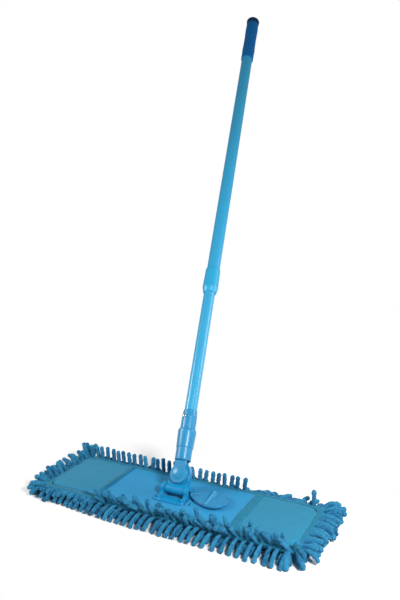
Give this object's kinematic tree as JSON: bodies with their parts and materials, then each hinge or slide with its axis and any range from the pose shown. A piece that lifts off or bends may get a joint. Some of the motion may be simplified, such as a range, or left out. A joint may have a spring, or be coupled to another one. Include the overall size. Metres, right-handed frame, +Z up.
{
  "type": "flat mop",
  "caption": "Flat floor mop with a looped fringe pad held by end pockets on a folding frame, a two-way swivel, and a telescopic handle with a twist collar and snap button.",
  "frame": {"origin": "middle of the pad's underside, on the floor", "axes": "+X along the pad towards the pedal, +Y to the back, where the handle leans, +Z up"},
  "size_m": [0.444, 0.7056, 0.8366],
  "materials": {
    "grip_plastic": "satin",
    "tube": "blue powder coat, satin",
    "light_plastic": "moulded, gloss",
    "joint_plastic": "moulded, gloss",
    "plate_plastic": "moulded, satin gloss",
    "white_plastic": "natural nylon",
    "black_plastic": "satin",
    "button_metal": "pressed and polished",
    "spring_steel": "bright",
    "dark_steel": "dark oxide",
    "backing": "woven",
    "pile": "chenille loops",
    "hem": "overlocked tape",
    "pocket": "plain woven"
  },
  "bodies": {
    "base": {"base_plate": "plate_plastic", "bracket": "joint_plastic", "bracket_screws": "spring_steel", "axle": "dark_steel", "hinge_pin": "spring_steel", "backing_left": "backing", "sole_left": "pile", "hem_left": "hem", "fringe_left": "pile", "pocket_left": "pocket", "binding_left": "hem"},
    "wing": {"wing_plate": "plate_plastic", "pedal_pin": "spring_steel", "pedal_spring": "spring_steel", "backing_right": "backing", "sole_right": "pile", "hem_right": "hem", "fringe_right": "pile", "pocket_right": "pocket", "binding_right": "hem"},
    "pedal": {"pedal": "plate_plastic"},
    "swivel": {"cross_piece": "joint_plastic"},
    "lower_handle": {"lower_tube": "tube", "guide_plug": "black_plastic", "tube_sleeve": "light_plastic", "socket": "light_plastic", "ear_pin": "dark_steel", "snap_spring": "spring_steel"},
    "button": {"snap_button": "button_metal"},
    "upper_handle": {"upper_tube": "tube", "grip": "grip_plastic", "grip_cap": "grip_plastic", "collet": "white_plastic"},
    "collar": {"twist_collar": "light_plastic"}
  },
  "joints": [
    {"name": "handle_lean", "type": "hinge", "parent": "base", "child": "swivel", "pos_m": [0, -0.002, 0.0287], "axis": [1, 0, 0], "range_deg": [-27.3, 102.7]},
    {"name": "handle_tilt", "type": "hinge", "parent": "swivel", "child": "lower_handle", "pos_m": [0, 0.01151, 0.04619], "axis": [0, 0.7912, -0.6115], "range_deg": [-37.1, 52.9]},
    {"name": "handle_slide", "type": "slide", "parent": "lower_handle", "child": "upper_handle", "axis": [-0.1374, 0.6057, 0.7837], "range_m": [-0.19, 0.3]},
    {"name": "collar_twist", "type": "hinge", "parent": "upper_handle", "child": "collar", "pos_m": [-0.04481, 0.20898, 0.30168], "axis": [-0.1374, 0.6057, 0.7837], "range_deg": [0, 120]},
    {"name": "button_press", "type": "slide", "parent": "lower_handle", "child": "button", "axis": [0.3711, 0.7651, -0.5263], "range_m": [0, 0.003], "stiffness_N_per_m": 600, "springref_m": -0.001},
    {"name": "pedal_press", "type": "hinge", "parent": "wing", "child": "pedal", "pos_m": [0.05, 0, 0.0234], "axis": [0, 1, 0], "range_deg": [0, 6], "stiffness_Nm_per_rad": 3, "springref_deg": -2.86, "deforming": ["pedal_spring"]},
    {"name": "wing_fold", "type": "hinge", "parent": "base", "child": "wing", "pos_m": [0.026, 0, 0.0196], "axis": [0, 1, 0], "range_deg": [0, 60]}
  ]
}
